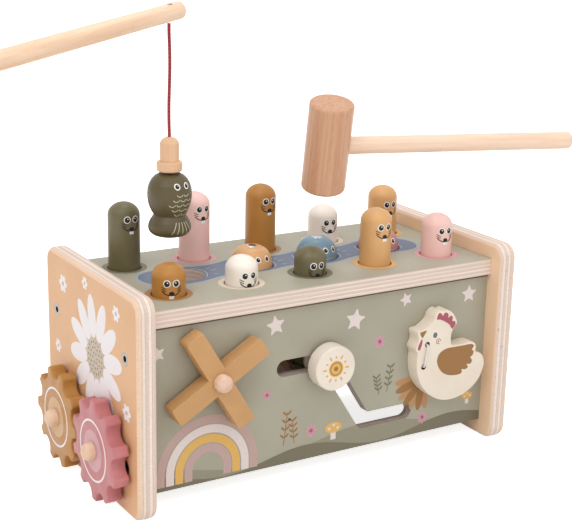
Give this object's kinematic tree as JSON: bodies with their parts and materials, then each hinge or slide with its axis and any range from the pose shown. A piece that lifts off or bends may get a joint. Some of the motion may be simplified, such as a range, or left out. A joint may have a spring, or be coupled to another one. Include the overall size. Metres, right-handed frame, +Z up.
{
  "type": "pounding bench",
  "caption": "Wooden toy bench with moles that pop up in pairs when pounded, magnetic fish in a painted stream, a windmill, meshed gears, a slider and a hen, with mallet and fishing rod.",
  "frame": {"origin": "on the floor, midway between the end panels and midway from front to back", "axes": "+X from the geared end to the hen's end, +Y from the front panel to the back panel, +Z up"},
  "size_m": [0.4646, 0.1823, 0.3332],
  "materials": {
    "panel_peach": "matte paint on plywood, bare edges",
    "panel_sage": "matte paint on plywood, bare edges",
    "plywood": "sanded",
    "beech": "sanded",
    "mallet_wood": "oiled",
    "ochre_paint": "satin paint",
    "cream_paint": "satin paint",
    "olive_paint": "satin paint",
    "honey_paint": "satin paint",
    "pink_paint": "satin paint",
    "rose_paint": "satin paint",
    "peach_paint": "satin paint",
    "blue_paint": "satin paint",
    "steel": "zinc plated",
    "red_line": "braided",
    "white_elastic": "braided"
  },
  "bodies": {
    "bench": {"left_end_panel": "panel_peach", "right_end_panel": "panel_peach", "top_panel": "panel_sage", "front_panel": "panel_sage", "back_panel": "panel_sage", "guide_shelf": "plywood", "panel_bolts": "steel", "rocker_axle": "steel", "rocker_spacers": "beech", "windmill_peg": "beech", "windmill_washer": "plywood", "gear_ochre_peg": "beech", "gear_rose_peg": "beech", "gear_washers": "plywood", "hen_elastic": "white_elastic"},
    "front_mole_1": {"mole_front_1": "ochre_paint"},
    "back_mole_1": {"mole_back_1": "olive_paint"},
    "rocker_1": {"rocker_1": "beech"},
    "front_mole_2": {"mole_front_2": "cream_paint"},
    "back_mole_2": {"mole_back_2": "pink_paint"},
    "rocker_2": {"rocker_2": "beech"},
    "front_mole_3": {"mole_front_3": "olive_paint"},
    "back_mole_3": {"mole_back_3": "ochre_paint"},
    "rocker_3": {"rocker_3": "beech"},
    "front_mole_4": {"mole_front_4": "honey_paint"},
    "back_mole_4": {"mole_back_4": "cream_paint"},
    "rocker_4": {"rocker_4": "beech"},
    "front_mole_5": {"mole_front_5": "pink_paint"},
    "back_mole_5": {"mole_back_5": "honey_paint"},
    "rocker_5": {"rocker_5": "beech"},
    "fish_peach": {"fish_peach": "peach_paint", "fish_peach_disc": "steel"},
    "fish_blue": {"fish_blue": "blue_paint", "fish_blue_disc": "steel"},
    "fish_rose": {"fish_rose": "rose_paint", "fish_rose_disc": "steel"},
    "windmill": {"windmill_sails": "ochre_paint"},
    "gear_ochre": {"gear_ochre": "ochre_paint"},
    "gear_rose": {"gear_rose": "rose_paint"},
    "slider": {"slider_disc": "cream_paint", "slider_stem": "beech", "slider_keeper": "plywood"},
    "hen": {"hen": "cream_paint"},
    "rod": {"rod_pole": "beech", "line_knot": "red_line"},
    "line": {"fishing_line": "red_line", "bobber": "beech", "bobber_magnet": "steel"},
    "fish_olive": {"fish_olive": "olive_paint", "fish_olive_disc": "steel"},
    "mallet": {"mallet_head": "mallet_wood", "mallet_handle": "beech"}
  },
  "joints": [
    {"name": "front_mole_1_slide", "type": "slide", "parent": "bench", "child": "front_mole_1", "axis": [0, 0, 1], "range_m": [-0.00214, 0.02837]},
    {"name": "back_mole_1_slide", "type": "slide", "parent": "bench", "child": "back_mole_1", "axis": [0, 0, 1], "range_m": [-0.02837, 0.00214]},
    {"name": "rocker_1_tilt", "type": "hinge", "parent": "bench", "child": "rocker_1", "pos_m": [-0.112, 0, 0.08095], "axis": [1, 0, 0], "range_deg": [-46.63, 3.52]},
    {"name": "front_mole_2_slide", "type": "slide", "parent": "bench", "child": "front_mole_2", "axis": [0, 0, 1], "range_m": [-0.0003, 0.03019]},
    {"name": "back_mole_2_slide", "type": "slide", "parent": "bench", "child": "back_mole_2", "axis": [0, 0, 1], "range_m": [-0.03019, 0.0003]},
    {"name": "rocker_2_tilt", "type": "hinge", "parent": "bench", "child": "rocker_2", "pos_m": [-0.056, 0, 0.08095], "axis": [1, 0, 0], "range_deg": [-49.63, 0.51]},
    {"name": "front_mole_3_slide", "type": "slide", "parent": "bench", "child": "front_mole_3", "axis": [0, 0, 1], "range_m": [0, 0.0305]},
    {"name": "back_mole_3_slide", "type": "slide", "parent": "bench", "child": "back_mole_3", "axis": [0, 0, 1], "range_m": [-0.0305, 0]},
    {"name": "rocker_3_tilt", "type": "hinge", "parent": "bench", "child": "rocker_3", "pos_m": [0, 0, 0.08095], "axis": [1, 0, 0], "range_deg": [-50.14, 0.01]},
    {"name": "front_mole_4_slide", "type": "slide", "parent": "bench", "child": "front_mole_4", "axis": [0, 0, 1], "range_m": [-0.02166, 0.00885]},
    {"name": "back_mole_4_slide", "type": "slide", "parent": "bench", "child": "back_mole_4", "axis": [0, 0, 1], "range_m": [-0.00885, 0.02166]},
    {"name": "rocker_4_tilt", "type": "hinge", "parent": "bench", "child": "rocker_4", "pos_m": [0.056, 0, 0.08095], "axis": [1, 0, 0], "range_deg": [-14.55, 35.6]},
    {"name": "front_mole_5_slide", "type": "slide", "parent": "bench", "child": "front_mole_5", "axis": [0, 0, 1], "range_m": [-0.01189, 0.01861]},
    {"name": "back_mole_5_slide", "type": "slide", "parent": "bench", "child": "back_mole_5", "axis": [0, 0, 1], "range_m": [-0.01861, 0.01189]},
    {"name": "rocker_5_tilt", "type": "hinge", "parent": "bench", "child": "rocker_5", "pos_m": [0.112, 0, 0.08095], "axis": [1, 0, 0], "range_deg": [-30.59, 19.56]},
    {"name": "fish_peach_lift", "type": "slide", "parent": "bench", "child": "fish_peach", "axis": [0, 0, 1], "range_m": [0, 0.06]},
    {"name": "fish_blue_lift", "type": "slide", "parent": "bench", "child": "fish_blue", "axis": [0, 0, 1], "range_m": [0, 0.06]},
    {"name": "fish_rose_lift", "type": "slide", "parent": "bench", "child": "fish_rose", "axis": [0, 0, 1], "range_m": [0, 0.06]},
    {"name": "windmill_spin", "type": "hinge", "parent": "bench", "child": "windmill", "pos_m": [-0.0933, -0.0715, 0.09], "axis": [0, -1, 0], "continuous": true},
    {"name": "gear_ochre_spin", "type": "hinge", "parent": "bench", "child": "gear_ochre", "pos_m": [-0.1625, 0.0334, 0.0393], "axis": [-1, 0, 0], "continuous": true},
    {"name": "gear_rose_spin", "type": "hinge", "parent": "bench", "child": "gear_rose", "pos_m": [-0.1625, -0.0334, 0.0393], "axis": [-1, 0, 0], "continuous": true},
    {"name": "slider_run", "type": "slide", "parent": "bench", "child": "slider", "axis": [1, 0, 0], "range_m": [-0.0337, 0]},
    {"name": "hen_pull", "type": "slide", "parent": "bench", "child": "hen", "axis": [0, -1, 0], "range_m": [0, 0.025], "stiffness_N_per_m": 80, "deforming": ["hen_elastic"]},
    {"name": "rod_lift", "type": "slide", "parent": "bench", "child": "rod", "axis": [0, 0, 1], "range_m": [0, 0.06]},
    {"name": "line_swing", "type": "hinge", "parent": "rod", "child": "line", "pos_m": [-0.09524, -0.00363, 0.32017], "axis": [0, 1, 0], "range_deg": [-14, 14]},
    {"name": "fish_olive_pull", "type": "slide", "parent": "line", "child": "fish_olive", "axis": [0, 0, -1], "range_m": [0, 0.012]},
    {"name": "mallet_lift", "type": "slide", "parent": "bench", "child": "mallet", "axis": [0, 0, 1], "range_m": [0, 0.06]}
  ],
  "couplings": [
    {"joint": "back_mole_1_slide", "follows": "front_mole_1_slide", "ratio": -1},
    {"joint": "rocker_1_tilt", "follows": "front_mole_1_slide", "rad_per_m": -28.684},
    {"joint": "back_mole_2_slide", "follows": "front_mole_2_slide", "ratio": -1},
    {"joint": "rocker_2_tilt", "follows": "front_mole_2_slide", "rad_per_m": -28.684},
    {"joint": "back_mole_3_slide", "follows": "front_mole_3_slide", "ratio": -1},
    {"joint": "rocker_3_tilt", "follows": "front_mole_3_slide", "rad_per_m": -28.684},
    {"joint": "back_mole_4_slide", "follows": "front_mole_4_slide", "ratio": -1},
    {"joint": "rocker_4_tilt", "follows": "front_mole_4_slide", "rad_per_m": -28.684},
    {"joint": "back_mole_5_slide", "follows": "front_mole_5_slide", "ratio": -1},
    {"joint": "rocker_5_tilt", "follows": "front_mole_5_slide", "rad_per_m": -28.684},
    {"joint": "gear_rose_spin", "follows": "gear_ochre_spin", "ratio": -1}
  ]
}
